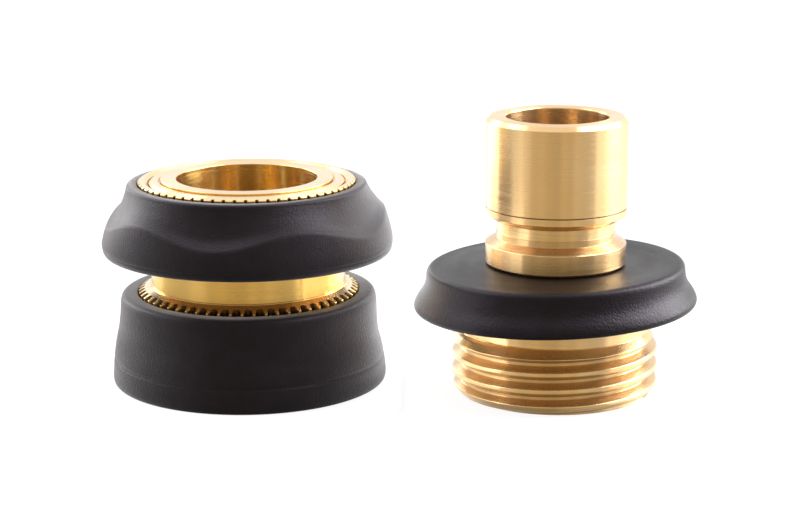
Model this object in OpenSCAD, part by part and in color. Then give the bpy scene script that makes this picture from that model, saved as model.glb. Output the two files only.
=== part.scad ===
// Two-part brass hose union: a sprung socket half and its plug half, standing side by side.
// Millimetres. Z is up, both halves stand on Z = 0, X runs from the socket half to the plug half.

/* [Layout] */
// Distance between the two upright axes along X
halves_gap_x = 40.3; // [39:0.1:60]
// How far the plug half stands in front of the socket half
halves_gap_y = 5.8; // [0:0.1:12]

/* [Socket body] */
// Bore that receives the plug nose
bore_r = 9.25; // [9.2:0.01:9.3]
// Outside of the nose tube the sleeve slides on
nose_r = 11.36; // [11.3:0.01:11.4]
// Overall height of the socket half
socket_h = 27.2; // [27:0.1:28]
// Turned neck between the sleeve and the base grip
neck_r = 12.8; // [12.6:0.1:12.9]
// Top of the neck, where the spring stands
shoulder_z = 16.4; // [16.2:0.1:16.6]
// Outside of the hidden threaded cup
cup_r = 15.1; // [14.9:0.1:15.2]
// Top of the threaded cup inside the base grip
cup_z = 9.5; // [9:0.1:10]
// Lower edge of the brass above the floor
cup_foot_z = 0.3; // [0.2:0.1:0.5]
// Ledge the plug nose stops on
ledge_z = 8.4; // [8.2:0.1:8.5]
// Opening inside the ledge
ledge_r = 8.3; // [8:0.1:8.5]
// Thickness of the ledge
ledge_t = 0.8; // [0.7:0.1:1]

/* [Hose thread] */
// Pitch of the hose thread
pitch = 2.2087; // [2.2:0.0001:2.22]
// Crest radius of the inside thread
female_minor_r = 12.27; // [12.2:0.01:12.4]
// Root radius of the inside thread
female_major_r = 13.6; // [13.5:0.05:13.7]
// Height of the lowest inside crest
female_crest_z = 1.55; // [1.5:0.05:1.7]
// Crest radius of the outside thread
male_major_r = 13.38; // [13.3:0.01:13.5]
// Root radius of the outside thread
male_minor_r = 12.1; // [12:0.05:12.2]
// Height of the lowest outside crest
male_crest_z = 1.12; // [1.1:0.01:1.3]
// Flat on each thread crest
crest_flat = 0.42; // [0.3:0.02:0.6]

/* [Base grip] */
// Widest radius of the rubber base grip
base_r = 18.18; // [18:0.01:18.3]
// Top of the rubber base grip
base_h = 12.05; // [11.9:0.05:12.1]
// Teeth on the brass flange the rubber grips
flange_teeth = 60; // [48:1:72]
// Tip radius of the flange teeth
flange_tip_r = 14.55; // [14.4:0.05:14.6]
// Shallow dips around the base grip
base_waves = 5; // [4:1:6]
// Direction of the first dip, from +X
base_wave_turn = 6; // [0:1:71]

/* [Locking balls] */
// Ball radius
ball_r = 1.75; // [1.7:0.01:1.8]
// Number of ball seats, matching the six ball modules
ball_count = 6; // [6:1:6]
// Height of the ball centres
ball_z = 22; // [21.9:0.1:22.1]
// Locked distance of a ball's centre from the axis
ball_rest_r = 9.97; // [9.95:0.01:10]
// Clearance round a ball in its seat
ball_gap = 0.07; // [0.05:0.01:0.08]

/* [Sleeve] */
// How far the sleeve draws back to unlock
sleeve_travel = 2; // [1.8:0.1:2]
// Rise of the inner ramp for each unit of height
ramp_slope = 0.5; // [0.5:0.01:0.5]
// Gap left between a ball and the ramp
ramp_gap = 0.028; // [0.02:0.002:0.04]
// Running gap between the sleeve's land and the nose
land_gap = 0.08; // [0.05:0.01:0.09]
// Under side of the land, where the spring pushes
land_z = 20.5; // [20.4:0.1:20.6]
// Spring chamber radius inside the sleeve
chamber_r = 13.1; // [13.1:0.05:13.2]
// Outside of the sleeve under the rubber
sleeve_r = 13.85; // [13.8:0.05:13.95]
// Lower edge of the sleeve
sleeve_z = 16.3; // [16.2:0.1:16.4]
// Top of the sleeve's toothed rim
sleeve_top = 26.95; // [26.8:0.05:27]
// Teeth on the rim
rim_teeth = 64; // [48:1:80]
// Tip radius of the rim teeth
rim_tip_r = 14.3; // [14.2:0.05:14.4]
// Seat for the retaining ring
ring_seat_z = 25.85; // [25.8:0.05:25.9]
// Thickness of the lip under the retaining ring
lip_t = 0.55; // [0.5:0.05:0.6]
// Inside of that lip
lip_r = 12.45; // [12.45:0.05:12.6]

/* [Collar grip] */
// Widest radius of the rubber collar
collar_r = 19.22; // [19.1:0.01:19.3]
// Lower edge of the rubber collar
collar_z = 17.3; // [17.2:0.1:17.5]
// Finger dips around the collar
collar_waves = 5; // [4:1:6]
// Direction of the first dip, from +X
collar_wave_turn = -28; // [-36:1:36]
// Depth of a finger dip
dip_depth = 1; // [0.6:0.1:1.2]

/* [Seals and springs] */
// Section radius of the O-ring in the bore
seal_r = 1.15; // [1.1:0.05:1.2]
// Height of the O-ring
seal_z = 14.5; // [14.3:0.1:14.7]
// Inside radius of the O-ring
seal_in_r = 8.95; // [8.9:0.05:9]
// Inside radius of the hose washer
washer_in_r = 8; // [7.8:0.1:8.2]
// Outside radius of the hose washer
washer_out_r = 12.9; // [12.8:0.1:13]
// Thickness of the hose washer
washer_t = 2.4; // [2.2:0.1:2.5]
// Spring wire radius
wire_r = 0.275; // [0.25:0.005:0.3]
// Spring mean radius
coil_r = 12.2; // [12.1:0.05:12.3]
// Spring turns
coil_turns = 2.5; // [2:0.25:2.75]
// Retaining ring thickness
snap_t = 0.7; // [0.6:0.05:0.75]
// Retaining ring outside radius
snap_r = 12.85; // [12.8:0.05:12.9]
// Inside radius of the retaining ring's raised shoulder
snap_step_r = 11.6; // [11.55:0.05:11.7]
// Height of that shoulder
snap_step_h = 1.05; // [0.95:0.05:1.1]
// Gap cut in the retaining ring, in degrees
snap_gap = 20; // [12:1:30]

/* [Plug half] */
// Nose radius that enters the socket
plug_r = 9.15; // [9.1:0.01:9.2]
// Waterway through the plug half
plug_bore_r = 6.6; // [6.4:0.05:6.8]
// Overall height of the plug half
plug_h = 36.25; // [36:0.05:36.5]
// Locking neck radius
lock_r = 7.66; // [7.6:0.01:7.8]
// Lower end of the locking neck
lock_z = 20.5; // [20.4:0.1:20.7]
// Upper end of the locking neck
lock_top = 22.8; // [22.7:0.1:23]
// Lower edge of the nose cylinder
nose_z = 23.6; // [23.5:0.1:23.8]
// Lower edge of the guide ring
guide_z = 17.4; // [17.3:0.05:17.6]
// Upper edge of the guide ring
guide_top = 19.8; // [19.6:0.05:19.9]
// Widest radius of the rubber disc
disc_r = 18.38; // [18.2:0.01:18.5]
// Under side of the rubber disc
disc_z = 11.4; // [11.3:0.1:11.6]
// Flat top of the rubber disc
disc_top = 16.85; // [16.7:0.05:17]
// Brass flange inside the disc
inner_flange_r = 15.3; // [15:0.1:15.5]

/* [Hidden] */
$fn = 72;
eps = 0.02;
socket_x = -(halves_gap_x - collar_r + disc_r) / 2;
socket_y = (halves_gap_y - collar_r + disc_r) / 2;
plug_x = socket_x + halves_gap_x;
plug_y = socket_y - halves_gap_y;

// edge breaks
small_edge = 0.15;
edge = 0.3;
big_edge = 0.5;

// hose thread ridges
thread_flank = tan(30);
female_rise = (female_major_r - female_minor_r) * thread_flank;
male_rise = (male_major_r - male_minor_r) * thread_flank;
half_flat = crest_flat / 2;

// flange and rim toothing
flange_tooth = 0.7;
flange_root_r = flange_tip_r - flange_tooth;
flange_edge_r = flange_tip_r - 0.25;
flange_top = 12.4;
flange_slope = 0.6;
neck_foot_r = 13.05;
neck_foot_z = flange_top + (flange_edge_r - neck_foot_r) * flange_slope;
flange_root_top = flange_top + (flange_edge_r - flange_root_r) * flange_slope;
rim_tooth = 0.4;
rim_root_r = rim_tip_r - rim_tooth;
rim_z = 26.1;

// O-ring groove
groove_gap = 0.15;
groove_half = seal_r + groove_gap;
groove_r = seal_in_r + 2 * seal_r + eps;

// washer room under the ledge
seat_z = ledge_z - ledge_t;
room_r = 13.3;
room_z = 4.95;

// retaining ring and its groove
snap_z = ring_seat_z + 0.05;
snap_in_r = 10.75;
snap_groove_r = snap_in_r - 0.05;
snap_groove_z = snap_z - 0.03;
snap_groove_t = snap_t + 0.06;

// ramp that holds the balls in and lets them out
ramp_stretch = sqrt(1 + ramp_slope * ramp_slope);
ramp_r = ball_rest_r + ball_r * ramp_stretch + ramp_gap;
land_r = nose_r + land_gap;
land_top = ball_z - (ramp_r - land_r) / ramp_slope;
ramp_top = ball_z + (chamber_r - ramp_r) / ramp_slope;
seat_r = 13.05;
rim_in_r = seat_r + 0.2;

// rubber lock rib on the sleeve
rib_r = 14.6;
rib_z = 20.5;
rib_top = 22.5;

// ball seats
seat_mouth_r = ball_r - 0.12;
seat_turn_r = ball_rest_r - ball_gap;

// plug flange inside the rubber disc, and the stem between it and the guide ring
flange_z = 12.2;
flange_end = 15.8;
under_guide_r = 8.5;

// spring stands between the shoulder and the land
spring_rest = land_z - shoulder_z;
coil_steps = 24;
wire_sides = 10;
coil_sections = coil_turns * coil_steps;
coil_rise = spring_rest - 2 * wire_r - 2 * eps;

// radius and height steps of the rubber outlines, from their widest radius and lower edge
base_shape = [[-0.33, 0], [-0.06, 0.3], [0, 0.9], [-0.06, 1.7], [-0.18, 2.8], [-0.32, 3.8],
    [-0.6, 5.4], [-0.91, 7.1], [-1.07, 8.7], [-1.2, 10.2], [-1.28, 10.9], [-1.53, 11.5],
    [-1.98, 11.9], [-2.48, 12.05], [-2.88, 12]];
collar_shape = [[-0.9, 0], [-0.45, 0.1], [-0.16, 0.5], [-0.02, 1], [0, 1.5], [-0.02, 1.9],
    [-0.22, 2.9], [-0.52, 4], [-0.8, 5.05], [-1.17, 6.1], [-1.62, 6.7], [-2.1, 7.2],
    [-2.72, 7.9], [-3.1, 8.35], [-3.5, 9.05], [-3.8, 9.28], [-4.22, 9.35], [-4.55, 9.2],
    [-4.72, 8.85]];
disc_shape = [[-0.5, 0], [-0.18, 0.15], [0, 0.5], [-0.03, 0.9], [-0.33, 1.4], [-0.73, 1.9],
    [-1.18, 2.6], [-1.48, 3.2], [-1.63, 4], [-1.6, 4.6], [-1.72, 4.95], [-1.98, 5.25],
    [-2.4, 5.45]];

brass = [0.79, 0.62, 0.39];
steel = [0.72, 0.73, 0.75];
rubber = [0.12, 0.1, 0.11];
seal_rubber = [0.06, 0.06, 0.07];

// a solid of revolution from [radius, height] points
module turned(points) {
    rotate_extrude($fn = 72) polygon(points);
}

// a prism with pointed teeth round its edge
module toothed(count, root, tip, low, high) {
    step = 360 / count;
    translate([0, 0, low])
        linear_extrude(height = high - low)
            polygon([for (i = [0 : 2 * count - 1])
                let (r = i % 2 == 0 ? tip : root, a = i * step / 2)
                [r * cos(a), r * sin(a)]]);
}

// one inside thread ridge, as outline points going up
function female_ridge(z) = [
    [female_major_r, z - half_flat - female_rise],
    [female_minor_r, z - half_flat],
    [female_minor_r, z + half_flat],
    [female_major_r, z + half_flat + female_rise]];

// one outside thread ridge, as outline points going up
function male_ridge(z) = [
    [male_minor_r, z - half_flat - male_rise],
    [male_major_r, z - half_flat],
    [male_major_r, z + half_flat],
    [male_minor_r, z + half_flat + male_rise]];

// moves a piece onto the socket half's axis
module on_socket() {
    translate([socket_x, socket_y, 0]) children();
}

// moves a piece onto the plug half's axis
module on_plug() {
    translate([plug_x, plug_y, 0]) children();
}

// brass body: threaded cup, toothed flange, neck and nose tube
module socket_body() {
    outside = [
        [female_major_r + edge, cup_foot_z], [cup_r - edge, cup_foot_z],
        [cup_r, cup_foot_z + edge], [cup_r, cup_z], [flange_root_r, cup_z],
        [flange_root_r, flange_root_top], [neck_foot_r, neck_foot_z], [neck_r, neck_foot_z],
        [neck_r, shoulder_z - small_edge],
        [neck_r - small_edge, shoulder_z], [nose_r, shoulder_z], [nose_r, snap_groove_z],
        [snap_groove_r, snap_groove_z], [snap_groove_r, snap_groove_z + snap_groove_t],
        [nose_r, snap_groove_z + snap_groove_t], [nose_r, socket_h - edge],
        [nose_r - edge, socket_h]];
    inside = [
        [bore_r + big_edge, socket_h], [bore_r, socket_h - big_edge],
        [bore_r, seal_z + groove_half], [groove_r, seal_z + groove_half],
        [groove_r, seal_z - groove_half], [bore_r, seal_z - groove_half],
        [bore_r, ledge_z], [ledge_r + small_edge, ledge_z], [ledge_r, ledge_z - small_edge],
        [ledge_r, seat_z], [room_r, seat_z], [room_r, room_z], [female_major_r, room_z]];
    upper = female_ridge(female_crest_z + pitch);
    lower = female_ridge(female_crest_z);
    thread = [upper[3], upper[2], upper[1], upper[0], lower[3], lower[2], lower[1], lower[0]];
    on_socket()
        color(brass)
        difference() {
            union() {
                turned(concat(outside, inside, thread));
                intersection() {
                    toothed(flange_teeth, flange_root_r, flange_tip_r, cup_z, neck_foot_z);
                    turned([[neck_r, cup_z], [flange_tip_r + edge, cup_z],
                        [flange_tip_r + edge, flange_top - small_edge],
                        [flange_edge_r, flange_top], [neck_foot_r, neck_foot_z],
                        [neck_r, neck_foot_z]]);
                }
            }
            for (i = [0 : ball_count - 1])
                rotate([0, 0, i * 360 / ball_count])
                    translate([0, 0, ball_z])
                        rotate([0, 90, 0])
                            ball_seat();
        }
}

// cutter for one ball seat: narrow at the bore, then straight out through the nose tube
module ball_seat() {
    narrow_x = bore_r - big_edge;
    translate([0, 0, narrow_x])
        cylinder(r1 = seat_mouth_r - ball_gap * 2, r2 = ball_r + ball_gap,
            h = seat_turn_r - narrow_x, $fn = 48);
    translate([0, 0, seat_turn_r])
        cylinder(r = ball_r + ball_gap, h = nose_r, $fn = 48);
}

// rubber grip moulded round the threaded cup, with shallow dips
module base_grip() {
    inside = [[flange_tip_r + ball_gap, base_h - edge], [flange_tip_r + ball_gap, cup_z + eps],
        [cup_r + eps, cup_z + eps], [cup_r + eps, 0]];
    dip_r = 24;
    dip_cut = 0.35;
    dip_z = 6.5;
    on_socket()
        color(rubber)
        difference() {
            turned(concat([for (s = base_shape) [base_r + s[0], s[1]]], inside));
            for (i = [0 : base_waves - 1])
                rotate([0, 0, base_wave_turn + i * 360 / base_waves])
                    translate([base_r + base_shape[6][0] - dip_cut + dip_r, 0, dip_z])
                        rotate([90, 0, 0])
                            cylinder(r = dip_r, h = base_r, center = true, $fn = 96);
        }
}

// spring ring with a raised shoulder that keeps the sleeve on, cut open on one side
module snap_ring() {
    on_socket()
        color(brass)
        translate([0, 0, snap_z])
            rotate_extrude(angle = 360 - snap_gap, start = 90 + snap_gap / 2, $fn = 72)
                polygon([[snap_in_r, 0], [snap_r, 0], [snap_r, snap_step_h],
                    [snap_step_r, snap_step_h], [snap_step_r, snap_t], [snap_in_r, snap_t]]);
}

// O-ring in the bore
module socket_o_ring() {
    on_socket()
        color(seal_rubber)
        translate([0, 0, seal_z])
            rotate_extrude($fn = 72)
                translate([seal_in_r + seal_r, 0])
                    circle(r = seal_r, $fn = 32);
}

// flat washer under the ledge
module hose_washer() {
    low = seat_z - eps - washer_t;
    on_socket()
        color(seal_rubber)
        turned([[washer_in_r, low + small_edge], [washer_in_r + small_edge, low],
            [washer_out_r - small_edge, low], [washer_out_r, low + small_edge],
            [washer_out_r, seat_z - eps - small_edge], [washer_out_r - small_edge, seat_z - eps],
            [washer_in_r + small_edge, seat_z - eps], [washer_in_r, seat_z - eps - small_edge]]);
}

// helical return spring
module sleeve_spring() {
    points = [for (i = [0 : coil_sections]) for (j = [0 : wire_sides - 1])
        let (a = i * 360 / coil_steps, b = j * 360 / wire_sides,
            r = coil_r + wire_r * cos(b),
            z = shoulder_z + wire_r + eps + coil_rise * i / coil_sections + wire_r * sin(b))
        [r * cos(a), r * sin(a), z]];
    sides = [for (i = [0 : coil_sections - 1]) for (j = [0 : wire_sides - 1])
        let (k = (j + 1) % wire_sides, here = i * wire_sides, next = here + wire_sides)
        [here + j, next + j, next + k, here + k]];
    last = coil_sections * wire_sides;
    start_cap = [[for (j = [0 : wire_sides - 1]) j]];
    end_cap = [[for (j = [0 : wire_sides - 1]) last + wire_sides - 1 - j]];
    on_socket()
        color(steel)
        polyhedron(points = points, faces = concat(sides, start_cap, end_cap), convexity = 6);
}

// brass sleeve: spring chamber, land, ramp, lip and toothed rim
module sleeve() {
    on_socket()
        color(brass)
        union() {
            turned([
                [chamber_r + small_edge, sleeve_z], [sleeve_r - small_edge, sleeve_z],
                [sleeve_r, sleeve_z + small_edge], [sleeve_r, rib_z], [rib_r, rib_z],
                [rib_r, rib_top], [sleeve_r, rib_top], [sleeve_r, rim_z], [rim_root_r, rim_z],
                [rim_root_r, sleeve_top - small_edge], [rim_root_r - small_edge, sleeve_top],
                [rim_in_r, sleeve_top], [seat_r, sleeve_top - (rim_in_r - seat_r)],
                [seat_r, ring_seat_z], [lip_r, ring_seat_z], [lip_r, ring_seat_z - lip_t],
                [chamber_r, ring_seat_z - lip_t], [chamber_r, ramp_top], [land_r, land_top],
                [land_r, land_z], [chamber_r, land_z], [chamber_r, sleeve_z + small_edge]]);
            intersection() {
                toothed(rim_teeth, rim_root_r, rim_tip_r, rim_z, sleeve_top);
                turned([[seat_r, rim_z], [rim_tip_r + edge, rim_z],
                    [rim_tip_r + edge, sleeve_top - 2 * small_edge],
                    [rim_root_r - small_edge, sleeve_top], [seat_r, sleeve_top]]);
            }
        }
}

// rubber collar on the sleeve, with finger dips round its shoulder
module collar_grip() {
    under_rim_z = rim_z - 0.1;
    inside = [[collar_r + collar_shape[18][0], under_rim_z], [sleeve_r + eps, under_rim_z],
        [sleeve_r + eps, rib_top + eps], [rib_r + eps, rib_top + eps],
        [rib_r + eps, rib_z - eps], [sleeve_r + eps, rib_z - eps],
        [sleeve_r + eps, collar_z]];
    dip_r = 11.6;
    dip_z = collar_z + 6.4;
    dip_tilt = 28;
    on_socket()
        color(rubber)
        difference() {
            turned(concat([for (s = collar_shape) [collar_r + s[0], collar_z + s[1]]], inside));
            for (i = [0 : collar_waves - 1])
                rotate([0, 0, collar_wave_turn + i * 360 / collar_waves])
                    translate([collar_r + collar_shape[10][0] - dip_depth, 0, dip_z])
                        rotate([0, -dip_tilt, 0])
                            translate([dip_r, 0, 0])
                                rotate([90, 0, 0])
                                    cylinder(r = dip_r, h = collar_r, center = true, $fn = 96);
        }
}

// one steel locking ball at its locked place
module lock_ball(index) {
    on_socket()
        color(steel)
        rotate([0, 0, (index - 1) * 360 / ball_count])
            translate([ball_rest_r, 0, ball_z])
                sphere(r = ball_r, $fn = 36);
}

module lock_ball_1() { lock_ball(1); }
module lock_ball_2() { lock_ball(2); }
module lock_ball_3() { lock_ball(3); }
module lock_ball_4() { lock_ball(4); }
module lock_ball_5() { lock_ball(5); }
module lock_ball_6() { lock_ball(6); }

// brass plug: outside hose thread, hidden flange, guide ring, locking neck and nose
module plug_body() {
    foot_r = 12.41;
    thread_top = 7.25;
    thread_end = 8.5;
    rim_r = 8.55;
    rim_z0 = 35.6;
    low = male_ridge(male_crest_z);
    mid = male_ridge(male_crest_z + pitch);
    top = male_ridge(male_crest_z + 2 * pitch);
    on_plug()
        color(brass)
        turned([
            [plug_bore_r + edge, 0], [foot_r, 0], low[1], low[2], low[3],
            mid[0], mid[1], mid[2], mid[3], top[0], top[1], top[2], top[3],
            [male_minor_r, thread_top - male_rise],
            [male_major_r - small_edge, thread_top],
            [male_minor_r, thread_end], [male_minor_r, flange_z],
            [inner_flange_r, flange_z], [inner_flange_r, flange_end],
            [under_guide_r, flange_end], [under_guide_r, guide_z],
            [plug_r - small_edge, guide_z], [plug_r, guide_z + small_edge],
            [plug_r, guide_top - small_edge], [plug_r - small_edge, guide_top],
            [lock_r, lock_z], [lock_r, lock_top],
            [plug_r - small_edge, nose_z - small_edge], [plug_r, nose_z],
            [plug_r, rim_z0], [rim_r, plug_h], [plug_bore_r + edge, plug_h],
            [plug_bore_r, plug_h - edge], [plug_bore_r, edge]]);
}

// flared rubber disc moulded over the plug's flange, open underneath
module plug_grip() {
    lip = 0.5;
    on_plug()
        color(rubber)
        turned(concat(
            [for (s = disc_shape) [disc_r + s[0], disc_z + s[1]]],
            [[under_guide_r + edge, disc_top], [under_guide_r + eps, disc_top - edge],
            [under_guide_r + eps, flange_end + eps],
            [inner_flange_r + eps, flange_end + eps], [inner_flange_r + eps, flange_z - eps],
            [inner_flange_r - lip, flange_z - eps], [inner_flange_r - lip, disc_z]]));
}

socket_body();
base_grip();
snap_ring();
socket_o_ring();
hose_washer();
sleeve_spring();
sleeve();
collar_grip();
lock_ball_1();
lock_ball_2();
lock_ball_3();
lock_ball_4();
lock_ball_5();
lock_ball_6();
plug_body();
plug_grip();
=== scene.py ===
"""Looks for a two-part brass hose union: a sprung socket half and its plug half on a white table.

Sizes are in millimetres, measured from each half's own axis and the table top, unless a comment says metres.
"""
import math

import bmesh
import bpy
import numpy as np
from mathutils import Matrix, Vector

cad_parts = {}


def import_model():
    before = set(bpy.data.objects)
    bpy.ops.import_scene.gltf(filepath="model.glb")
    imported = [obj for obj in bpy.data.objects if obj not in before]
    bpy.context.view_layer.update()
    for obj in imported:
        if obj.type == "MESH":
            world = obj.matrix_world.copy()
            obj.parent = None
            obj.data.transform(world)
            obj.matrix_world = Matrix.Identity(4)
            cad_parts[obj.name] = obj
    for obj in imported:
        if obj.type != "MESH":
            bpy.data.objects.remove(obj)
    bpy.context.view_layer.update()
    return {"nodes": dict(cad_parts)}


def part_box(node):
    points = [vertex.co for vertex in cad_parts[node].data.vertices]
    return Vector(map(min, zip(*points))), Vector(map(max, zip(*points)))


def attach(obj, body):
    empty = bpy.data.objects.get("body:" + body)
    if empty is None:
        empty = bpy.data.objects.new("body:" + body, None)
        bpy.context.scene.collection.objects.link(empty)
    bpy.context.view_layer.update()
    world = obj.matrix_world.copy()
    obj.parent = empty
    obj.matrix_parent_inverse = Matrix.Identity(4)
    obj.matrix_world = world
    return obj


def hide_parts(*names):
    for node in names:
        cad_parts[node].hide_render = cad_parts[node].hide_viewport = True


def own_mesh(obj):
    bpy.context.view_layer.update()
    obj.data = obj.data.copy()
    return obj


MM = 0.001
TAU = 2 * math.pi

# hose thread, right-hand
PITCH = 2.2087
MALE_CREST_R = 13.38
MALE_ROOT_R = 12.18
FEMALE_CREST_R = 12.27
FEMALE_ROOT_R = 13.6
CREST_FLAT = 0.4
ROOT_FLAT = 0.34
FRONT_CREST_Z = 3.32

# toothed edges
FLANGE_TEETH = 60
RIM_TEETH = 64
COLUMNS_PER_TOOTH = 10
TOOTH_AT = math.radians(0.5 - 90)

# finger waves on the two socket grips
WAVES = 5
COLLAR_CREST = math.radians(26 - 90)
BASE_CREST = math.radians(60 - 90)

# in metres: points closer than the first are welded, and edges shorter than the second go
WELD_DISTANCE = 2e-7
EMPTY_EDGE = 1e-8

# ball holes through the nose tube
BALL_SEATS = 6
BALL_SEAT_R = 1.82
BALL_SEAT_LENGTH = 4.0
BALL_SEAT_MID_R = 10.4
BALL_Z = 22.0

# sleeve spring, from the shoulder that it stands on
SHOULDER_Z = 16.4
SPRING_REST = 4.1
SPRING_TURNS = 2.5
SPRING_COIL_R = 12.2
SPRING_WIRE_R = 0.275
SPRING_GAP = 0.02

# bores and seals
SOCKET_BORE_R = 9.25
WATERWAY_R = 6.6
O_RING_R = 10.1
O_RING_SECTION_R = 1.15
O_RING_Z = 14.5
WASHER_LOW, WASHER_HIGH = 5.18, 7.58
WASHER_GROOVE = 0.22
SNAP_RING_GAP = math.radians(20)

# the soft grips sit a little askew on the brass
DISC_LEAN = math.radians(2.1)
COLLAR_LEAN = math.radians(0.42)

# painted shade, from 0 to 1: how far the brass is painted towards the dark brown below, inside the bores, in
# the thread roots, on the plug's guide ring and cone, on the stem under that ring and in a fine groove line;
# the toothed grooves take theirs from their depth
BORE_PAINTED_SHADE = 0.28
FLANK_PAINTED_SHADE = 0.3
GUIDE_PAINTED_SHADE = 0.26
DEEPEST_PAINTED_SHADE = 0.9
PAINTED_SHADE_COLOUR = (0.12, 0.055, 0.02)

# studio light round the pair: degrees from the viewing side, right positive, and how bright it is there
STUDIO = (
    (-180, 1.1), (-140, 1.4), (-124, 1.45), (-116, 0.95), (-104, 0.8), (-90, 0.7), (-72, 0.72), (-66, 0.86),
    (-50, 0.84), (-44, 0.64), (-26, 0.7), (-20, 0.62), (0, 0.56), (6, 0.7), (20, 0.6), (26, 0.74),
    (44, 0.62), (60, 0.68), (64, 1.3), (80, 1.35), (86, 1.6), (120, 1.8), (150, 1.4), (180, 1.1))
STUDIO_TOP = 1.0
STUDIO_UNDER = 0.4
BRIGHTEST = 4.0
FRONT_TINT = (1.0, 0.9, 0.68)
FRONT_MIDDLE, FRONT_FULL, FRONT_FADES = -8, 20, 70
FLOOR_GREY = 0.6
# in metres: half of the table's side, and how far it lies under the pair
FLOOR_HALF = 1.6
FLOOR_GAP = 0.00005

# soft lights: azimuth, elevation, width and height in metres, brightness, and whether they show in
# reflections; all of them stand at one distance, in metres
SOFTBOX_DISTANCE = 0.6
SOFTBOXES = {
    "top_softbox": (180, 78, 0.8, 0.6, 0.35, True),
    "right_softbox": (84, 50, 0.3, 0.35, 7.0, True),
    "right_low_softbox": (106, 24, 0.4, 0.4, 10.0, True),
    "left_softbox": (-100, 45, 0.3, 0.35, 3.0, True),
    "left_low_softbox": (-130, 18, 0.35, 0.35, 4.0, True),
    "right_wash": (100, 14, 0.4, 0.4, 30.0, False),
    "left_wash": (-104, 14, 0.4, 0.4, 22.0, False),
}

# strips of light between the halves: Y from and to, Z from and to, brightness, and the side that they
# shine towards, 1 for -X and -1 for +X
CARD_X = 0.8
LIGHT_CARDS = {
    "card_to_socket": (-12, 20, 0.5, 28, 1.4, 1),
    "card_to_plug": (-3.5, 20, 0.5, 38, 1.2, -1),
    "card_to_plug_nose": (-20, -3.5, 19, 38, 0.2, -1),
    "card_to_plug_foot": (-20, -3.5, 0.5, 19, 1.6, -1),
}

# camera, from the socket half's axis and the table top
CAMERA_PLACE = (20.26, -275.56, 81.29)
CAMERA_DOWN = math.radians(13.335)
CAMERA_ROLL = math.radians(0.12)
CAMERA_LENS = 96.06


# ---------------------------------------------------------------- outlines


def rounded(points, steps=4):
    """Closed outline with its corners rounded. Each point is (radius, height, corner radius).

    A pair of support points beside each corner keeps the flats flat under smooth shading.
    """
    out = []
    count = len(points)
    for i, point in enumerate(points):
        here = np.array(point[:2], float)
        before = np.array(points[i - 1][:2], float)
        after = np.array(points[(i + 1) % count][:2], float)
        back, ahead = before - here, after - here
        long_back, long_ahead = np.linalg.norm(back), np.linalg.norm(ahead)
        back, ahead = back / long_back, ahead / long_ahead
        angle = math.acos(float(np.clip(back @ ahead, -1, 1)))
        if point[2] <= 0 or angle > math.radians(176):
            out.append(here)
            continue
        cut = min(point[2] / math.tan(angle / 2), 0.42 * long_back, 0.42 * long_ahead)
        radius = cut * math.tan(angle / 2)
        start, end = here + back * cut, here + ahead * cut
        middle = here + (back + ahead) / np.linalg.norm(back + ahead) * radius / math.sin(angle / 2)
        support = min(0.03, 0.1 * cut + 0.004)
        from_arm, to_arm = start - middle, end - middle
        turn = math.pi - angle
        out.append(start + back * support)
        for k in range(steps + 1):
            t = k / steps
            arm = (math.sin((1 - t) * turn) * from_arm + math.sin(t * turn) * to_arm) / math.sin(turn)
            out.append(middle + arm)
        out.append(end + ahead * support)
    return np.array(out)


def flowing(points, per_span=5):
    """Closed smooth curve through (radius, height) points."""
    p = np.array(points, float)
    before, after, second = np.roll(p, 1, 0), np.roll(p, -1, 0), np.roll(p, -2, 0)
    out = []
    for i in range(len(p)):
        for k in range(per_span):
            t = k / per_span
            out.append(
                0.5 * (2 * p[i] + (after[i] - before[i]) * t
                       + (2 * before[i] - 5 * p[i] + 4 * after[i] - second[i]) * t * t
                       + (3 * p[i] - before[i] - 3 * after[i] + second[i]) * t ** 3))
    return np.array(out)


# ---------------------------------------------------------------- meshes


def angles(columns):
    """Angles of the columns round a turned piece, with the first one again at the end."""
    return np.linspace(0, TAU, columns + 1)


def surface(name, radius, height, centre, columns, painted_shade=None):
    """Ring-shaped solid from rows of radius and height; the last argument is painted shade, how dark each
    point is painted, 0 to 1.
    """
    theta = angles(columns)
    rows = radius.shape[0]
    x, y = radius * np.cos(theta), radius * np.sin(theta)
    verts = np.stack([x, y, height], -1).reshape(-1, 3) * MM
    wide = columns + 1
    i = np.repeat(np.arange(rows), columns)
    j = np.tile(np.arange(columns), rows)
    k = (i + 1) % rows
    faces = np.stack([i * wide + j, i * wide + j + 1, k * wide + j + 1, k * wide + j], 1)
    mesh = bpy.data.meshes.new(name)
    mesh.vertices.add(len(verts))
    mesh.vertices.foreach_set("co", verts.ravel())
    mesh.loops.add(faces.size)
    mesh.loops.foreach_set("vertex_index", faces.ravel())
    mesh.polygons.add(len(faces))
    mesh.polygons.foreach_set("loop_start", np.arange(0, faces.size, 4))
    if painted_shade is not None:
        layer = mesh.attributes.new("painted_shade", "FLOAT", "POINT")
        layer.data.foreach_set("value", np.ascontiguousarray(painted_shade, dtype=np.float32).ravel())
    mesh.update(calc_edges=True)
    mesh.validate()
    return settle(name, mesh, centre)


def settle(name, mesh, centre):
    """Welds a mesh, turns its faces outwards and puts it on its axis."""
    work = bmesh.new()
    work.from_mesh(mesh)
    bmesh.ops.remove_doubles(work, verts=work.verts, dist=WELD_DISTANCE)
    bmesh.ops.dissolve_degenerate(work, edges=work.edges, dist=EMPTY_EDGE)
    bmesh.ops.recalc_face_normals(work, faces=work.faces)
    for face in work.faces:
        face.smooth = True
    work.to_mesh(mesh)
    work.free()
    piece = bpy.data.objects.new(name, mesh)
    piece.location = (centre[0], centre[1], 0)
    bpy.context.scene.collection.objects.link(piece)
    return piece


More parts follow.
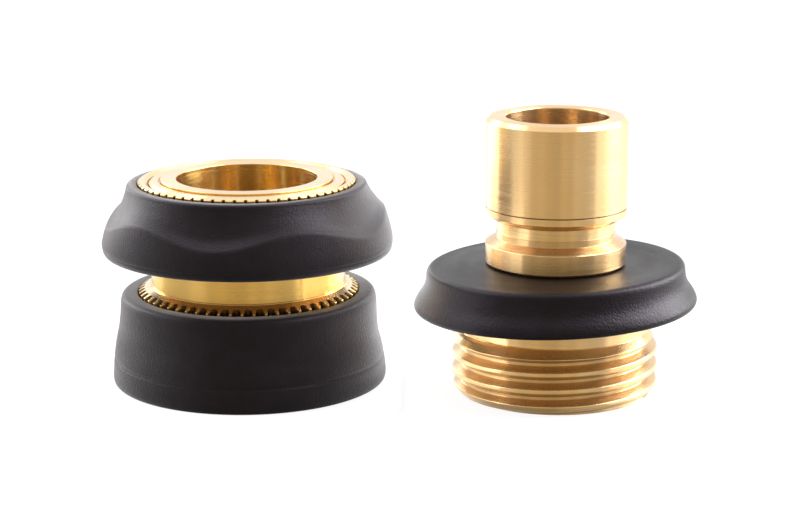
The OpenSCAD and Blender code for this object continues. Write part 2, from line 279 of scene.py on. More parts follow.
def tooth(theta, count, share):
    """0 on the flat tip of each tooth, 1 at the bottom of each groove, which takes a share of the pitch."""
    away = np.abs(((theta - TOOTH_AT) * count / TAU + 0.5) % 1.0 - 0.5) * 2
    deep = np.clip((away - (1 - share)) / share, 0, 1)
    return np.sqrt(1 - (1 - deep) ** 2)


def turned_rows(outline, columns):
    """Rows of radius and height for a turned outline."""
    wide = columns + 1
    return np.repeat(outline[:, :1], wide, 1), np.repeat(outline[:, 1:2], wide, 1)


def cut_teeth(radius, height, columns, count, share, depth, edge, bevel):
    """Cuts grooves into the wall below a bevelled edge. Also says how far each point lies in a groove, which
    the brass then takes as painted shade.

    edge is (lowest height, tip radius, highest height); bevel is its (radius, height) outside and inside.
    """
    low, tip_r, top = edge
    (outer_r, outer_z), (inner_r, inner_z) = bevel
    groove = np.repeat(tooth(angles(columns), count, share)[None, :], len(radius), 0)
    wall = tip_r - depth * groove
    inside = (height > low) & (height < top) & (radius > inner_r) & (radius > wall)
    on_bevel = inside & (height > outer_z - 0.02)
    climb = (inner_z - outer_z) / (outer_r - inner_r)
    cut = np.where(inside, wall, radius)
    height = np.where(on_bevel, outer_z + np.clip(outer_r - cut, 0, None) * climb, height)
    return cut, height, np.where(inside, np.clip(groove * 1.2, 0, 1), 0)


def leaned(radius, height, columns, lean, high_side, start, full, low=-1.0, high=99.0):
    """Tips the outer part of a soft piece up towards its high side."""
    t = np.clip((radius - start) / (full - start), 0, 1)
    share = t * t * (3 - 2 * t) * ((height > low) & (height < high))
    return height + math.tan(lean) * radius * np.cos(angles(columns) - high_side)[None, :] * share


def thread_form(s, crest_r, root_r):
    """Radius of the thread at s along the axis, with a crest at s = 0, crests and roots eased."""
    rise = (PITCH - CREST_FLAT - ROOT_FLAT) / 2
    away = np.abs((s + PITCH / 2) % PITCH - PITCH / 2)
    t = np.clip((away - CREST_FLAT / 2) / rise, 0, 1)
    ease = 0.13
    eased_root = 1 - ease - (1 - t) ** 2 / (2 * ease)
    t = np.where(t < ease, t * t / (2 * ease), np.where(t > 1 - ease, eased_root, t - ease / 2))
    return crest_r + (root_r - crest_r) * t / (1 - ease)


def thread_rows(columns, low, high, crest_r, root_r, chamfer, low_r, high_r, outside, per_pitch=28):
    """Rows that run along the helix between two flat ends, cut by a chamfer."""
    theta = angles(columns)
    climb = PITCH * ((theta + math.pi / 2) / TAU)
    start = FRONT_CREST_Z - math.ceil((FRONT_CREST_Z - low) / PITCH + 1.3) * PITCH
    s = np.arange(start, high + 0.3 * PITCH, PITCH / per_pitch)[:, None]
    height = s + climb
    radius = np.repeat(thread_form(s - FRONT_CREST_Z, crest_r, root_r), columns + 1, 1)
    cone = chamfer(height)
    radius = np.minimum(radius, cone) if outside else np.maximum(radius, cone)
    radius = np.where(height <= low, low_r, np.where(height >= high, high_r, radius))
    return radius, np.clip(height, low, high)


def stack(*blocks):
    """One run of rows from several (radius, height) pairs."""
    return np.vstack([b[0] for b in blocks]), np.vstack([b[1] for b in blocks])


def wave(theta, crest):
    """1 at each wave's crest and 0 in each dip."""
    return 0.5 + 0.5 * np.cos(WAVES * (theta - crest))


def waved(name, crest_outline, dip_outline, crest_angle, centre, columns, grooves=(), lean=0.0):
    """A moulded grip whose outline swings between two outlines round the turn.

    Each groove is (height, depth, width, the radius that it stays outside of).
    """
    share = wave(angles(columns), crest_angle)
    high, low = crest_outline, dip_outline
    radius = high[:, :1] * share + low[:, :1] * (1 - share)
    height = high[:, 1:2] * share + low[:, 1:2] * (1 - share)
    for groove_z, depth, width, inner_r in grooves:
        cut = depth * np.exp(-(((height - groove_z) / width) ** 2))
        radius = radius - np.where(radius > inner_r, cut, 0)
    height = leaned(radius, np.maximum(height, 0), columns, lean, math.radians(-90), start=14.5, full=17.5)
    return surface(name, radius, height, centre, columns)


def cut_ball_seats(piece):
    """Radial holes through the nose tube, one for each ball."""
    work = bmesh.new()
    for i in range(BALL_SEATS):
        turn = i * TAU / BALL_SEATS
        made = bmesh.ops.create_cone(work, cap_ends=True, segments=40, radius1=BALL_SEAT_R * MM,
                                     radius2=BALL_SEAT_R * MM, depth=BALL_SEAT_LENGTH * MM)
        cosine, sine = math.cos(turn), math.sin(turn)
        for v in made["verts"]:
            x, y, z = v.co.z + BALL_SEAT_MID_R * MM, v.co.x, v.co.y + BALL_Z * MM
            v.co = Vector((x * cosine - y * sine, x * sine + y * cosine, z))
    bmesh.ops.recalc_face_normals(work, faces=work.faces)
    mesh = bpy.data.meshes.new("seat_cutter")
    work.to_mesh(mesh)
    work.free()
    cutter = bpy.data.objects.new("seat_cutter", mesh)
    cutter.location = piece.location
    bpy.context.scene.collection.objects.link(cutter)
    step = piece.modifiers.new("seats", "BOOLEAN")
    step.object, step.operation, step.solver = cutter, "DIFFERENCE", "EXACT"
    bpy.context.view_layer.update()
    graph = bpy.context.evaluated_depsgraph_get()
    cut = bpy.data.meshes.new_from_object(piece.evaluated_get(graph))
    piece.modifiers.clear()
    piece.data = cut
    bpy.data.objects.remove(cutter)
    sharpen(piece, 35)


def swept(name, sections, centre):
    """Solid with flat ends through a run of sections, each a loop of (radius, angle, height) points."""
    work = bmesh.new()
    loops = [[work.verts.new((r * math.cos(a) * MM, r * math.sin(a) * MM, z * MM)) for r, a, z in section]
             for section in sections]
    sides = len(loops[0])
    for here, there in zip(loops, loops[1:]):
        for k in range(sides):
            m = (k + 1) % sides
            work.faces.new((here[k], there[k], there[m], here[m]))
    work.faces.new(loops[0])
    work.faces.new(loops[-1][::-1])
    mesh = bpy.data.meshes.new(name)
    work.to_mesh(mesh)
    work.free()
    piece = settle(name, mesh, centre)
    sharpen(piece, 50)
    return piece


def sharpen(piece, degrees):
    """Edges steeper than this stay crisp under smooth shading."""
    work = bmesh.new()
    work.from_mesh(piece.data)
    for edge in work.edges:
        if len(edge.link_faces) == 2 and edge.calc_face_angle(0) > math.radians(degrees):
            edge.smooth = False
    for face in work.faces:
        face.smooth = True
    work.to_mesh(piece.data)
    work.free()


# ---------------------------------------------------------------- pieces


def make_socket_body(centre):
    """Cup with its inside hose thread, toothed flange, neck and nose tube, in one turned piece."""
    columns = FLANGE_TEETH * COLUMNS_PER_TOOTH
    flange_r, bevel_low, bevel_top = 14.55, (14.3, 12.42), (13.05, 13.06)
    outer_and_bore = rounded([
        (13.95, 0.3, 0), (15.1, 0.3, 0.3), (15.1, 9.5, 0.05), (flange_r, 9.52, 0),
        (flange_r, 12.28, 0.1), (*bevel_low, 0.04), (13.7, 12.727, 0), (*bevel_top, 0.03),
        (13.0, 13.17, 0.03), (12.8, 13.18, 0.05), (12.8, 16.4, 0.15), (11.36, 16.4, 0.1),
        (11.36, 25.87, 0.03), (10.7, 25.87, 0.05), (10.7, 26.63, 0.05), (11.36, 26.63, 0.05),
        (11.36, 27.2, 0.1),
        (SOCKET_BORE_R, 27.2, 0.14), (SOCKET_BORE_R, 15.8, 0.06), (11.27, 15.8, 0.1), (11.27, 13.2, 0.1),
        (SOCKET_BORE_R, 13.2, 0.06), (SOCKET_BORE_R, 8.4, 0.05), (8.3, 8.4, 0.15), (8.3, 7.6, 0.1),
        (13.3, 7.6, 0.15), (13.3, 5.02, 0.02), (13.6, 4.95, 0)])
    *main, grooves = cut_teeth(*turned_rows(outer_and_bore, columns), columns, FLANGE_TEETH, share=0.74,
                               depth=0.8, edge=(9.51, flange_r, 13.1), bevel=(bevel_low, bevel_top))

    def chamfer(z):
        return np.maximum(13.95 - (z - 0.3) * 1.3, 13.6 - (4.95 - z) * 1.6)

    radius, height = thread_rows(columns, 0.3, 4.95, FEMALE_CREST_R, FEMALE_ROOT_R, chamfer, low_r=13.95,
                                 high_r=13.6, outside=False, per_pitch=14)
    # painted shade: the flange's grooves, the bore and the thread roots are painted darker
    grooves = np.where(main[0] < SOCKET_BORE_R + 0.01, BORE_PAINTED_SHADE, grooves)
    flanks = FLANK_PAINTED_SHADE * np.clip((radius[::-1] - FEMALE_CREST_R) * 5, 0, 1)
    painted_shade = np.vstack([grooves, flanks])
    radius, height = stack(main, (radius[::-1], height[::-1]))
    piece = surface("socket_body_turned", radius, height, centre, columns, painted_shade)
    cut_ball_seats(piece)
    return piece


def make_base_grip(centre):
    """Black grip round the cup: flared foot, low finger waves and the mould's fine parting line."""
    foot = [(15.16, 0.05), (15.3, 0), (17.4, 0), (17.78, 0.03), (18.02, 0.16), (18.14, 0.45), (18.18, 0.9),
            (18.13, 1.7)]
    top = [(16.98, 10.3), (16.94, 10.9), (16.86, 11.35), (16.7, 11.72), (16.42, 11.96), (16.05, 12.06),
           (15.5, 12.08), (14.9, 12.07), (14.68, 12.0), (14.61, 11.8), (14.6, 11.2), (14.62, 9.62),
           (15.12, 9.52), (15.12, 8.0), (15.12, 2.0)]
    crest = [(18.05, 2.8), (17.94, 3.85), (17.77, 5.1), (17.6, 6.0), (17.44, 6.75), (17.3, 7.4),
             (17.18, 8.2), (17.06, 9.2)]
    dip = [(18.01, 2.65), (17.87, 3.55), (17.68, 4.5), (17.48, 5.3), (17.26, 6.1), (17.14, 6.95),
           (17.06, 7.9), (17.01, 9.1)]
    return waved("base_grip_moulded", flowing(foot + crest + top, 6), flowing(foot + dip + top, 6),
                 BASE_CREST, centre, 288, grooves=[(3.35, 0.14, 0.17, 17.0)])


def make_collar_grip(centre):
    """Black collar: its upper face flares out to a wavy shoulder, then a band runs down to a rolled foot."""
    foot = [(13.9, 17.5), (14.2, 17.34), (16.2, 17.3), (18.1, 17.3), (18.5, 17.34), (18.82, 17.5),
            (19.0, 17.75), (19.1, 18.05), (19.19, 18.5), (19.2, 18.9)]
    top = [(15.84, 26.12), (15.74, 26.38), (15.54, 26.56), (15.24, 26.64), (14.9, 26.66), (14.56, 26.64),
           (14.4, 26.54), (14.36, 26.3), (14.36, 26.02), (14.0, 25.95), (13.9, 25.6), (13.9, 22.7),
           (14.64, 22.5), (14.64, 20.5), (13.9, 20.3), (13.9, 19)]
    crest = [(19.15, 19.5), (19.02, 20.2), (18.82, 21.0), (18.6, 21.8), (18.4, 22.45), (18.26, 22.85),
             (18.08, 23.15), (17.8, 23.4), (17.38, 23.85), (16.92, 24.42), (16.44, 25.05), (16.04, 25.75)]
    dip = [(19.12, 19.2), (19.04, 19.6), (18.93, 20.0), (18.8, 20.4), (18.68, 20.75), (18.55, 21.02),
           (18.34, 21.25), (18.05, 21.5), (17.3, 22.25), (16.75, 23.35), (16.3, 24.5), (15.93, 25.6)]
    return waved("collar_grip_moulded", flowing(foot + crest + top, 5), flowing(foot + dip + top, 5),
                 COLLAR_CREST, centre, 320, grooves=[(18.28, 0.06, 0.08, 17.5)], lean=COLLAR_LEAN)


def make_sleeve(centre):
    """Brass sleeve with its toothed rim, ring seat, ramp, land and spring chamber."""
    columns = RIM_TEETH * COLUMNS_PER_TOOTH
    rim_r, bevel_low, bevel_top = 14.3, (14.3, 26.83), (14.05, 27.0)
    outline = rounded([
        (13.1, 16.3, 0.12), (13.85, 16.3, 0.12), (13.85, 20.5, 0.03), (14.6, 20.5, 0.08), (14.6, 22.5, 0.08),
        (13.85, 22.5, 0.03), (13.85, 26.1, 0.02), (rim_r, 26.12, 0), (*bevel_low, 0.03),
        (*bevel_top, 0.03), (13.5, 27.0, 0.05), (13.14, 26.72, 0.03), (13.05, 26.66, 0.02),
        (13.05, 25.85, 0.05), (12.45, 25.85, 0.08), (12.45, 25.3, 0.08), (13.1, 25.3, 0.05),
        (13.1, 24.3, 0.05), (11.44, 20.97, 0.04), (11.44, 20.5, 0.06), (13.1, 20.5, 0.08)])
    # painted shade: the rim's grooves are painted darker by their depth
    radius, height, grooves = cut_teeth(*turned_rows(outline, columns), columns, RIM_TEETH, share=0.36,
                                        depth=0.24, edge=(26.11, rim_r, 27.1), bevel=(bevel_low, bevel_top))
    return surface("sleeve_turned", radius, np.minimum(height, bevel_top[1]), centre, columns, grooves)


def make_plug_body(centre):
    """Plug in one turned piece: outside hose thread, guide ring, locking neck and nose."""
    columns = 320

    def chamfer(z):
        return np.minimum(12.41 + z * 0.78, MALE_CREST_R - (z - 7.2) * 0.96)

    thread = thread_rows(columns, 0.0, 8.5, MALE_CREST_R, MALE_ROOT_R, chamfer, low_r=MALE_ROOT_R,
                         high_r=12.12, outside=True)
    rest = rounded([
        (12.12, 8.5, 0), (12.12, 8.58, 0.02), (12.27, 8.64, 0.03), (12.27, 12.2, 0.02), (15.3, 12.2, 0.1),
        (15.3, 15.8, 0.1), (8.5, 15.8, 0.05), (8.5, 17.2, 0.04), (9.1, 17.2, 0.09), (9.13, 19.75, 0.06),
        (9.05, 19.82, 0.04), (7.75, 20.55, 0.06), (7.74, 21.35, 0.02), (7.66, 21.38, 0.02), (7.66, 22.8, 0.1),
        (7.82, 22.8, 0.04), (9.1, 23.56, 0.03), (9.15, 23.62, 0.03), (9.15, 24.46, 0.01), (9.04, 24.5, 0.01),
        (9.04, 24.58, 0.01), (9.15, 24.62, 0.01), (9.15, 35.62, 0.08), (8.62, 36.22, 0.14),
        (WATERWAY_R, 36.25, 0.26), (WATERWAY_R, 0.0, 0.3), (MALE_ROOT_R, 0.0, 0)])
    # painted shade in the thread roots, on the stem under the guide ring, in a fine groove line, inside the
    # bore and on the guide ring and cone
    in_thread = FLANK_PAINTED_SHADE * np.clip((MALE_CREST_R - 0.04 - thread[0]) * 6, 0, 1)
    flanks = np.where(thread[1] < 7.3, in_thread, 0)
    radius, height = stack(thread, turned_rows(rest, columns))
    stem = (radius < 8.7) & (radius > 8.3) & (height > 15.7) & (height < 17.21)
    line = (radius > 8.9) & (radius < 9.06) & (np.abs(height - 24.54) < 0.06)
    guide = (radius > 7.72) & (height > 17.21) & (height < 21.4)
    bore = radius < WATERWAY_R + 0.01
    painted_shade = np.select([stem | line, bore, guide], [DEEPEST_PAINTED_SHADE, BORE_PAINTED_SHADE, GUIDE_PAINTED_SHADE], 0.0)
    painted_shade[:len(flanks)] = flanks
    height = leaned(radius, height, columns, DISC_LEAN, 0, start=10, full=16, low=12.1, high=15.9)
    return surface("plug_body_turned", radius, height, centre, columns, painted_shade)


def make_plug_grip(centre):
    """Black flared disc round the plug."""
    columns = 256
    outline = flowing([
        (14.86, 11.55), (15.05, 11.42), (16.0, 11.4), (17.6, 11.4), (18.0, 11.44), (18.24, 11.58),
        (18.36, 11.85), (18.34, 12.15), (18.2, 12.5), (17.95, 12.95), (17.6, 13.45), (17.25, 14.0),
        (17.0, 14.6), (16.86, 15.2), (16.8, 15.75), (16.76, 16.15), (16.62, 16.5), (16.36, 16.74),
        (16.0, 16.84), (15.4, 16.85), (12.0, 16.84), (9.4, 16.92), (8.75, 16.98), (8.56, 16.86),
        (8.54, 15.95), (8.9, 15.84), (14.9, 15.83), (15.32, 15.72), (15.33, 12.3), (15.1, 12.17),
        (14.88, 12.1)], 6)
    radius, height = turned_rows(outline, columns)
    height = leaned(radius, height, columns, DISC_LEAN, 0, start=10, full=16)
    return surface("plug_grip_moulded", radius, height, centre, columns)


def make_hose_washer(centre):
    """Flat washer with raised sealing rings on its lower face."""
    columns = 160
    low, groove, high = WASHER_LOW, WASHER_LOW + WASHER_GROOVE, WASHER_HIGH
    outline = rounded([
        (8.0, low, 0.3), (9.3, low, 0.1), (9.5, groove, 0.08), (9.9, groove, 0.08), (10.1, low, 0.1),
        (10.9, low, 0.1), (11.1, groove, 0.08), (11.5, groove, 0.08), (11.7, low, 0.1),
        (12.9, low, 0.35), (12.9, high, 0.35), (8.0, high, 0.3)])
    radius, height = turned_rows(outline, columns)
    return surface("hose_washer_moulded", radius, height, centre, columns)


def make_o_ring(centre):
    """O-ring with the fine moulding flash of its parting line."""
    columns = 160
    flash_height, flash_width = 0.02, 0.06
    around = np.linspace(0, TAU, 40, endpoint=False)
    flash = np.exp(-((np.sin(around - math.pi / 2) / flash_width) ** 2))
    section = O_RING_SECTION_R - flash_height * (1 - flash)
    outline = np.stack([O_RING_R + section * np.cos(around), O_RING_Z + section * np.sin(around)], 1)
    radius, height = turned_rows(outline, columns)
    return surface("o_ring_moulded", radius, height, centre, columns)


def make_snap_ring(centre):
    """Open spring ring with a raised shoulder and rounded edges, its gap at the back."""
    outline = rounded([
        (10.75, 25.9, 0.1), (12.85, 25.9, 0.1), (12.85, 26.7, 0.04), (12.5, 26.96, 0.05), (11.6, 26.96, 0.06),
        (11.6, 26.6, 0.03), (10.75, 26.6, 0.08)])
    back = math.pi / 2
    theta = np.linspace(back + SNAP_RING_GAP / 2, back + TAU - SNAP_RING_GAP / 2, 181)
    return swept("snap_ring_formed", [[(r, a, z) for r, z in outline] for a in theta], centre)


def make_spring(centre):
    """Helical wire spring with its ends wound flat against their seats."""
    steps_per_turn, sides, flat_share = 48, 14, 0.08
    base = SHOULDER_Z + SPRING_WIRE_R + SPRING_GAP
    rise = SPRING_REST - 2 * SPRING_WIRE_R - 2 * SPRING_GAP
    count = int(SPRING_TURNS * steps_per_turn)
    sections = []
    for i in range(count + 1):
        t = i / count
        eased = min(max((t - flat_share) / (1 - 2 * flat_share), 0), 1)
        turn, z = t * SPRING_TURNS * TAU, base + rise * eased
        round_wire = [j * TAU / sides for j in range(sides)]
        sections.append([(SPRING_COIL_R + SPRING_WIRE_R * math.cos(b), turn, z + SPRING_WIRE_R * math.sin(b))
                         for b in round_wire])
    return swept("sleeve_spring_wound", sections, centre)


# ---------------------------------------------------------------- materials


def new_material(name):
    """A node material, its nodes, its links and its main shader."""
    material = bpy.data.materials.new(name)
    material.use_nodes = True
    nodes, links = material.node_tree.nodes, material.node_tree.links
    return material, nodes, links, nodes["Principled BSDF"]


def noise(nodes, links, vector, scale, detail, rough):
    """Even grey noise."""
    node = nodes.new("ShaderNodeTexNoise")
    node.inputs["Scale"].default_value = scale
    node.inputs["Detail"].default_value = detail
    node.inputs["Roughness"].default_value = rough
    links.new(vector, node.inputs["Vector"])
    return node.outputs["Fac"]


def spread(nodes, links, value, low, high, from_low=0.3, from_high=0.7):
    """Stretches a value's usual range from low to high."""
    node = nodes.new("ShaderNodeMapRange")
    node.inputs["From Min"].default_value = from_low
    node.inputs["From Max"].default_value = from_high
    node.inputs["To Min"].default_value = low
    node.inputs["To Max"].default_value = high
    links.new(value, node.inputs["Value"])
    return node.outputs["Result"]


def two_colours(nodes, links, value, dark, light):
    """Blend of two colours, each a tuple or another node's output."""
    node = nodes.new("ShaderNodeMix")
    node.data_type = "RGBA"
    for name, colour in (("A", dark), ("B", light)):
        if isinstance(colour, tuple):
            node.inputs[name].default_value = (*colour, 1)
        else:
            links.new(colour, node.inputs[name])
    links.new(value, node.inputs["Factor"])
    return node.outputs["Result"]


def calculated(nodes, links, operation, *values):
    """Result of a sum on numbers and other nodes' outputs."""
    node = nodes.new("ShaderNodeMath")
    node.operation = operation
    for slot, value in zip(node.inputs, values):
        if isinstance(value, (int, float)):
            slot.default_value = value
        else:
            links.new(value, slot)
    return node.outputs[0]


def lathe_space(nodes, links, along, around):
    """Plain place, and one that changes quickly along and out from the axis and slowly round it."""
    place = nodes.new("ShaderNodeTexCoord").outputs["Object"]
    split = nodes.new("ShaderNodeSeparateXYZ")
    links.new(place, split.inputs[0])
    flat = nodes.new("ShaderNodeCombineXYZ")
    links.new(split.outputs["X"], flat.inputs["X"])
    links.new(split.outputs["Y"], flat.inputs["Y"])
    distance = nodes.new("ShaderNodeVectorMath")
    distance.operation = "LENGTH"
    links.new(flat.outputs[0], distance.inputs[0])
    direction = nodes.new("ShaderNodeVectorMath")
    direction.operation = "NORMALIZE"
    links.new(flat.outputs[0], direction.inputs[0])
    slow = nodes.new("ShaderNodeVectorMath")
    slow.operation = "SCALE"
    slow.inputs["Scale"].default_value = around
    links.new(direction.outputs["Vector"], slow.inputs[0])
    total = calculated(nodes, links, "ADD", distance.outputs["Value"], split.outputs["Z"])
    axial = nodes.new("ShaderNodeCombineXYZ")
    links.new(calculated(nodes, links, "MULTIPLY", total, along), axial.inputs["Z"])
    joined = nodes.new("ShaderNodeVectorMath")
    joined.operation = "ADD"
    links.new(slow.outputs["Vector"], joined.inputs[0])
    links.new(axial.outputs[0], joined.inputs[1])
    return place, joined.outputs["Vector"]


def add_bump(nodes, links, shader, height, distance, before=None):
    """Bump of the shader's normal, on top of the one before."""
    node = nodes.new("ShaderNodeBump")
    node.inputs["Distance"].default_value = distance
    node.inputs["Strength"].default_value = 1.0
    links.new(height, node.inputs["Height"])
    if before is not None:
        links.new(before, node.inputs["Normal"])
    links.new(node.outputs["Normal"], shader.inputs["Normal"])
    return node.outputs["Normal"]


def brass_material(name, dark, light, painted_top_highlight, rough):
    """Turned brass: fine tool marks, a highlight stretched along the axis, stains, a painted highlight that
    pales faces looking up, and painted shade where the mesh asks for it.
    """
    material, nodes, links, shader = new_material(name)
    place, lathe = lathe_space(nodes, links, 2600, 0.9)
    lines = noise(nodes, links, lathe, 1.0, 4, 0.6)
    broad = noise(nodes, links, lathe, 0.22, 2, 0.5)
    stain = noise(nodes, links, place, 110, 3, 0.5)
    turned = two_colours(nodes, links, spread(nodes, links, stain, 0, 1), dark, light)
    # painted highlight: faces that look up are painted paler, as if lit from above
    upright = nodes.new("ShaderNodeSeparateXYZ")
    links.new(nodes.new("ShaderNodeTexCoord").outputs["Normal"], upright.inputs[0])
    facing_up = spread(nodes, links, upright.outputs["Z"], 0, 1, 0.5, 0.95)
    ends = two_colours(nodes, links, facing_up, turned, painted_top_highlight)
    # painted shade: the mesh's per-point shade darkens the colour towards a dark brown
    deep = nodes.new("ShaderNodeAttribute")
    deep.attribute_name = "painted_shade"
    links.new(two_colours(nodes, links, deep.outputs["Fac"], ends, PAINTED_SHADE_COLOUR), shader.inputs["Base Color"])
    links.new(spread(nodes, links, lines, rough - 0.04, rough + 0.04), shader.inputs["Roughness"])
    shader.inputs["Metallic"].default_value = 1.0
    shader.inputs["Anisotropic"].default_value = 0.9
    shader.inputs["Anisotropic Rotation"].default_value = 0.25
    first = add_bump(nodes, links, shader, lines, 0.0000018)
    add_bump(nodes, links, shader, broad, 0.0000025, before=first)
    tangent = nodes.new("ShaderNodeTangent")
    tangent.direction_type, tangent.axis = "RADIAL", "Z"
    links.new(tangent.outputs["Tangent"], shader.inputs["Tangent"])
    return material


def rubber_material(name, dark=(0.0014, 0.0009, 0.0012), light=(0.004, 0.0027, 0.0036), level=0.2,
                    sheen=0.2, rough=0.38):
    """Moulded rubber: satin skin with a fine grain, faint flow marks and a little dust."""
    material, nodes, links, shader = new_material(name)
    place, lathe = lathe_space(nodes, links, 500, 2.0)
    grain = noise(nodes, links, place, 3600, 3, 0.65)
    flow = noise(nodes, links, lathe, 1.0, 3, 0.5)
    dust = noise(nodes, links, place, 420, 5, 0.65)
    dusty = spread(nodes, links, dust, 0, 1, 0.35, 0.75)
    links.new(two_colours(nodes, links, dusty, dark, light), shader.inputs["Base Color"])
    links.new(spread(nodes, links, flow, rough, rough + 0.07), shader.inputs["Roughness"])
    shader.inputs["Specular IOR Level"].default_value = level
    shader.inputs["Specular Tint"].default_value = (0.94, 0.84, 1.0, 1)
    shader.inputs["Sheen Weight"].default_value = sheen
    shader.inputs["Sheen Roughness"].default_value = 0.4
    shader.inputs["Sheen Tint"].default_value = (1.0, 0.94, 0.96, 1)
    first = add_bump(nodes, links, shader, grain, 0.00007)
    add_bump(nodes, links, shader, dust, 0.00002, before=first)
    return material


def steel_material(name):
    """Polished spring and ball steel with fine scratches."""
    material, nodes, links, shader = new_material(name)
    place = nodes.new("ShaderNodeTexCoord").outputs["Object"]
    scratch = noise(nodes, links, place, 3000, 4, 0.6)
    patch = noise(nodes, links, place, 500, 3, 0.5)
    colour = two_colours(nodes, links, patch, (0.60, 0.61, 0.63), (0.72, 0.73, 0.75))
    links.new(colour, shader.inputs["Base Color"])
    links.new(spread(nodes, links, scratch, 0.1, 0.22), shader.inputs["Roughness"])
    shader.inputs["Metallic"].default_value = 1.0
    add_bump(nodes, links, shader, scratch, 0.000002)
    return material


def dress(piece, material):
    """Gives the whole piece one material."""
    piece.data.materials.clear()
    piece.data.materials.append(material)


# ---------------------------------------------------------------- stage


def make_floor():
    """White table under the pair, seen only from above and left out of reflections."""
    mesh = bpy.data.meshes.new("floor")
    corners = [(FLOOR_HALF * x, FLOOR_HALF * y, 0) for x, y in ((-1, -1), (1, -1), (1, 1), (-1, 1))]
    mesh.from_pydata(corners, [], [(0, 1, 2, 3)])
    floor = bpy.data.objects.new("floor", mesh)
    floor.location.z = -FLOOR_GAP
    bpy.context.scene.collection.objects.link(floor)
    material, nodes, links, shader = new_material("floor_white")
    shader.inputs["Base Color"].default_value = (0.1, 0.1, 0.1, 1)
    shader.inputs["Roughness"].default_value = 0.8
    shader.inputs["Specular IOR Level"].default_value = 0.05
    shader.inputs["Emission Color"].default_value = (1, 1, 1, 1)
    shader.inputs["Emission Strength"].default_value = 0.9
    plain = nodes.new("ShaderNodeBsdfDiffuse")
    plain.inputs["Color"].default_value = (FLOOR_GREY, FLOOR_GREY, FLOOR_GREY, 1)
    rays = nodes.new("ShaderNodeLightPath")
    above = nodes.new("ShaderNodeMixShader")
    links.new(rays.outputs["Is Camera Ray"], above.inputs["Fac"])
    links.new(plain.outputs["BSDF"], above.inputs[1])
    links.new(shader.outputs["BSDF"], above.inputs[2])
    clear = nodes.new("ShaderNodeBsdfTransparent")
    side = nodes.new("ShaderNodeNewGeometry")
    mix = nodes.new("ShaderNodeMixShader")
    links.new(side.outputs["Backfacing"], mix.inputs["Fac"])
    links.new(above.outputs["Shader"], mix.inputs[1])
    links.new(clear.outputs["BSDF"], mix.inputs[2])
    links.new(mix.outputs["Shader"], nodes["Material Output"].inputs["Surface"])
    floor.data.materials.append(material)
    floor.visible_glossy = False


def make_world():
    """White studio that is brighter at the sides and the back, and warm and dim on the viewing side."""
    world = bpy.data.worlds.new("studio")
    bpy.context.scene.world = world
    world.use_nodes = True
    nodes, links = world.node_tree.nodes, world.node_tree.links
    nodes.clear()
    place = nodes.new("ShaderNodeTexCoord").outputs["Generated"]
    split = nodes.new("ShaderNodeSeparateXYZ")
    links.new(place, split.inputs[0])
    front = calculated(nodes, links, "MULTIPLY", split.outputs["Y"], -1)
    turn = calculated(nodes, links, "ARCTAN2", split.outputs["X"], front)
    share = calculated(nodes, links, "MULTIPLY_ADD", turn, 1 / TAU, 0.5)
    ramp = nodes.new("ShaderNodeValToRGB")
    ramp.color_ramp.interpolation = "LINEAR"
    stops = ramp.color_ramp.elements
    while len(stops) > 1:
        stops.remove(stops[-1])
    for i, (degrees, level) in enumerate(STUDIO):
        stop = stops[0] if i == 0 else stops.new(degrees / 360 + 0.5)
        stop.position = degrees / 360 + 0.5
        facing = min(max((FRONT_FADES - abs(degrees - FRONT_MIDDLE)) / (FRONT_FADES - FRONT_FULL), 0), 1)
        stop.color = (*[level / BRIGHTEST * (1 - facing * (1 - c)) for c in FRONT_TINT], 1)
    links.new(share, ramp.inputs["Fac"])
    up = nodes.new("ShaderNodeMapRange")
    up.interpolation_type = "SMOOTHSTEP"
    up.inputs["From Min"].default_value, up.inputs["From Max"].default_value = 0.55, 0.95
    links.new(split.outputs["Z"], up.inputs["Value"])
    top = STUDIO_TOP / BRIGHTEST
    blend = nodes.new("ShaderNodeMix")
    blend.data_type = "RGBA"
    links.new(up.outputs["Result"], blend.inputs["Factor"])
    links.new(ramp.outputs["Color"], blend.inputs["A"])
    blend.inputs["B"].default_value = (top, top, top, 1)
    lit = nodes.new("ShaderNodeBackground")
    links.new(blend.outputs["Result"], lit.inputs["Color"])
    below = nodes.new("ShaderNodeMapRange")
    below.interpolation_type = "SMOOTHSTEP"
    below.inputs["From Min"].default_value, below.inputs["From Max"].default_value = -0.85, -0.4
    below.inputs["To Min"].default_value = STUDIO_UNDER * BRIGHTEST
    below.inputs["To Max"].default_value = BRIGHTEST
    links.new(split.outputs["Z"], below.inputs["Value"])
    links.new(below.outputs["Result"], lit.inputs["Strength"])
    seen = nodes.new("ShaderNodeBackground")
    seen.inputs["Color"].default_value = (1, 1, 1, 1)
    rays = nodes.new("ShaderNodeLightPath")
    mix = nodes.new("ShaderNodeMixShader")
    links.new(rays.outputs["Is Camera Ray"], mix.inputs["Fac"])
    links.new(lit.outputs[0], mix.inputs[1])
    links.new(seen.outputs[0], mix.inputs[2])
    out = nodes.new("ShaderNodeOutputWorld")
    links.new(mix.outputs["Shader"], out.inputs["Surface"])


def area_light(name, width, height, brightness):
    """Rectangular light that the camera doesn't see."""
    light = bpy.data.lights.new(name, "AREA")
    light.shape, light.size, light.size_y = "RECTANGLE", width, height
    light.energy = brightness * light.size * light.size_y * math.pi
    lamp = bpy.data.objects.new(name, light)
    lamp.visible_camera = False
    bpy.context.scene.collection.objects.link(lamp)
    return lamp


def light_card(name, y_from, y_to, z_from, z_to, brightness, side):
    """A bright strip between the halves, so that each half is lit from the side that faces the other."""
    lamp = area_light(name, (y_to - y_from) * MM, (z_to - z_from) * MM, brightness)
    lamp.location = Vector((CARD_X, (y_from + y_to) / 2, (z_from + z_to) / 2)) * MM
    lamp.rotation_euler = (math.radians(90), 0, math.radians(90 * side))


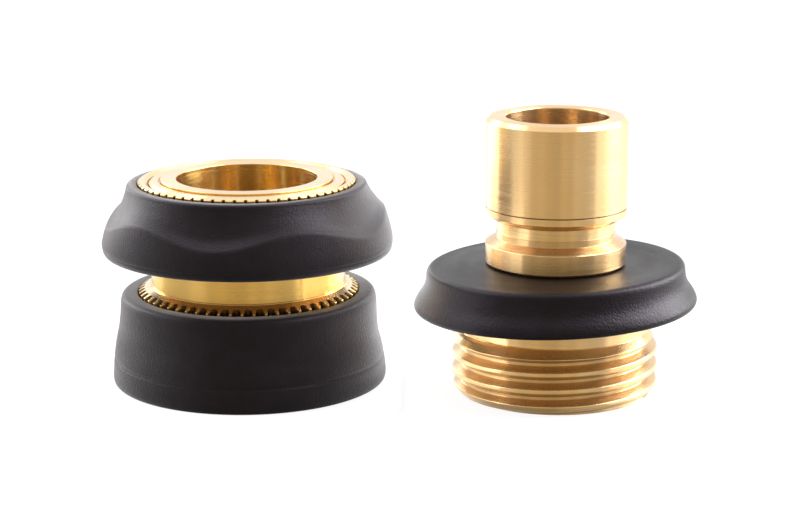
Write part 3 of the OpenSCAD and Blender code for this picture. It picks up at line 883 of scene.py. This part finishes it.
def softbox(name, azimuth, elevation, width, height, brightness, mirrored, target):
    """A large soft light: azimuth 0 is the viewing side, 90 the right."""
    lamp = area_light(name, width, height, brightness)
    a, e = math.radians(azimuth), math.radians(elevation)
    aim = Vector((math.sin(a) * math.cos(e), -math.cos(a) * math.cos(e), math.sin(e)))
    lamp.location = target + aim * SOFTBOX_DISTANCE
    lamp.rotation_mode = "QUATERNION"
    lamp.rotation_quaternion = aim.to_track_quat("Z", "Y")
    lamp.visible_glossy = mirrored


def make_camera(socket_axis):
    """Camera that sees both halves from just above, on a long lens."""
    data = bpy.data.cameras.new("camera")
    data.sensor_width = 36
    data.lens = CAMERA_LENS
    data.clip_start, data.clip_end = 0.01, 10
    camera = bpy.data.objects.new("camera", data)
    right, ahead, up = CAMERA_PLACE
    camera.location = (socket_axis[0] + right * MM, socket_axis[1] + ahead * MM, up * MM)
    camera.rotation_euler = (math.radians(90) - CAMERA_DOWN, CAMERA_ROLL, 0)
    bpy.context.scene.collection.objects.link(camera)
    bpy.context.scene.camera = camera


# ---------------------------------------------------------------- build


def axis_of(node):
    """X and Y of a turned node's axis."""
    low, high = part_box(node)
    return ((low.x + high.x) / 2, (low.y + high.y) / 2)


def build():
    """The whole scene: materials, pieces on their bodies, table, lights and camera."""
    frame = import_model()
    socket_axis, plug_axis = axis_of("socket_body"), axis_of("plug_body")

    # the third colour of each brass is its painted highlight for faces that look up
    brass = brass_material("brass_turned", (0.85, 0.525, 0.14), (0.89, 0.57, 0.18), (0.86, 0.66, 0.42), 0.25)
    pale_brass = brass_material("brass_turned_pale", (0.84, 0.55, 0.25), (0.88, 0.6, 0.3),
                                (0.84, 0.57, 0.31), 0.26)
    rubber = rubber_material("rubber_moulded")
    glossy_rubber = rubber_material("rubber_moulded_glossy", level=0.23, sheen=0.0, rough=0.3)
    seal = rubber_material("rubber_seal", (0.008, 0.008, 0.009), (0.014, 0.014, 0.015), 0.4)
    steel = steel_material("steel_polished")

    pieces = [
        (make_socket_body(socket_axis), "socket", "socket_body", "brass", brass),
        (make_base_grip(socket_axis), "socket", "base_grip", "rubber", rubber),
        (make_snap_ring(socket_axis), "socket", "snap_ring", "brass", brass),
        (make_o_ring(socket_axis), "socket", "socket_o_ring", "seal_rubber", seal),
        (make_hose_washer(socket_axis), "socket", "hose_washer", "seal_rubber", seal),
        (make_spring(socket_axis), "socket", "sleeve_spring", "steel", steel),
        (make_sleeve(socket_axis), "sleeve", "sleeve", "brass", brass),
        (make_collar_grip(socket_axis), "sleeve", "collar_grip", "rubber", rubber),
        (make_plug_body(plug_axis), "plug_half", "plug_body", "brass", pale_brass),
        (make_plug_grip(plug_axis), "plug_half", "plug_grip", "rubber", glossy_rubber),
    ]
    for piece, body, node, slot, material in pieces:
        dress(piece, material)
        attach(piece, body)
        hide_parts(node)
        if node == "sleeve_spring":
            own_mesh(piece)
    for name, node in frame["nodes"].items():
        if name.startswith("lock_ball"):
            dress(node, steel)

    make_floor()
    make_world()
    target = Vector(((socket_axis[0] + plug_axis[0]) / 2, 0, 0.02))
    for name, setting in SOFTBOXES.items():
        softbox(name, *setting, target)
    for name, setting in LIGHT_CARDS.items():
        light_card(name, *setting)
    make_camera(socket_axis)
    bpy.context.scene.view_settings.view_transform = "Standard"


build()
